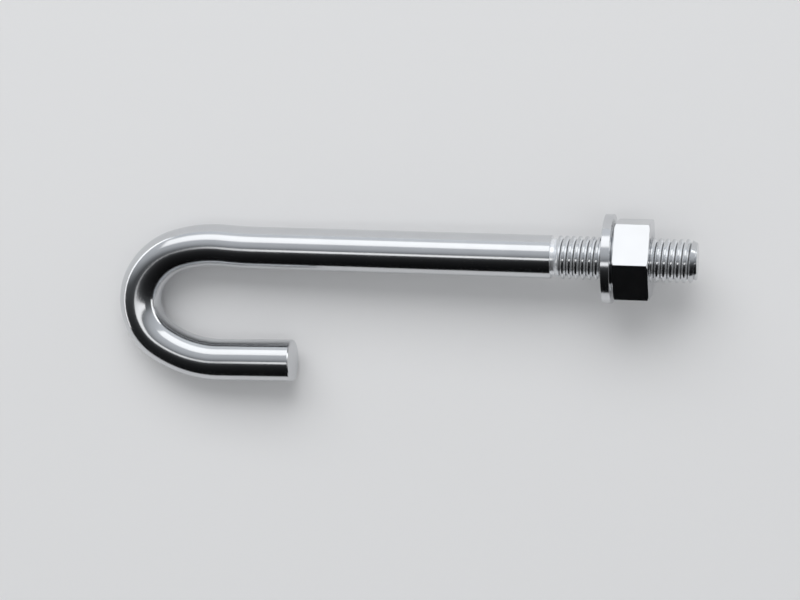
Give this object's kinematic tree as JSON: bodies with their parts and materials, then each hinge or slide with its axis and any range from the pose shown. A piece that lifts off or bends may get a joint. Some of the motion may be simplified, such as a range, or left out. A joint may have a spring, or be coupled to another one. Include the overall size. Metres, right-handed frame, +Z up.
{
  "type": "j-bolt with washer and nut",
  "caption": "Round steel bar bent into a J-shaped hook at one end and threaded at the other, with a flat washer and a hex nut on the thread.",
  "frame": {"origin": "on the shank's axis at the shoulder, where the plain shank ends and the thread starts", "axes": "+X along the shank's axis to the threaded end; the hook lies in the XY plane and bends round toward -Y; +Z up, square to the hook's plane, as the bolt lies on its side"},
  "size_m": [0.1351, 0.0417, 0.02],
  "materials": {
    "bolt_steel": "polished bright bar",
    "washer_steel": "bright, blanked edge",
    "nut_steel": "bright, machined flats"
  },
  "bodies": {
    "bolt": {"hook_bolt": "bolt_steel"},
    "washer": {"flat_washer": "washer_steel"},
    "nut": {"hex_nut": "nut_steel"}
  },
  "joints": [
    {"name": "washer_slide", "type": "slide", "parent": "bolt", "child": "washer", "axis": [1, 0, 0], "range_m": [-0.0119, 0.0102]},
    {"name": "nut_spin", "type": "hinge", "parent": "washer", "child": "nut", "pos_m": [0.0183, 0, 0], "axis": [1, 0, 0], "range_deg": [-2440, 2850]}
  ],
  "couplings": [
    {"joint": "washer_slide", "follows": "nut_spin", "m_per_rad": -0.00023873}
  ]
}
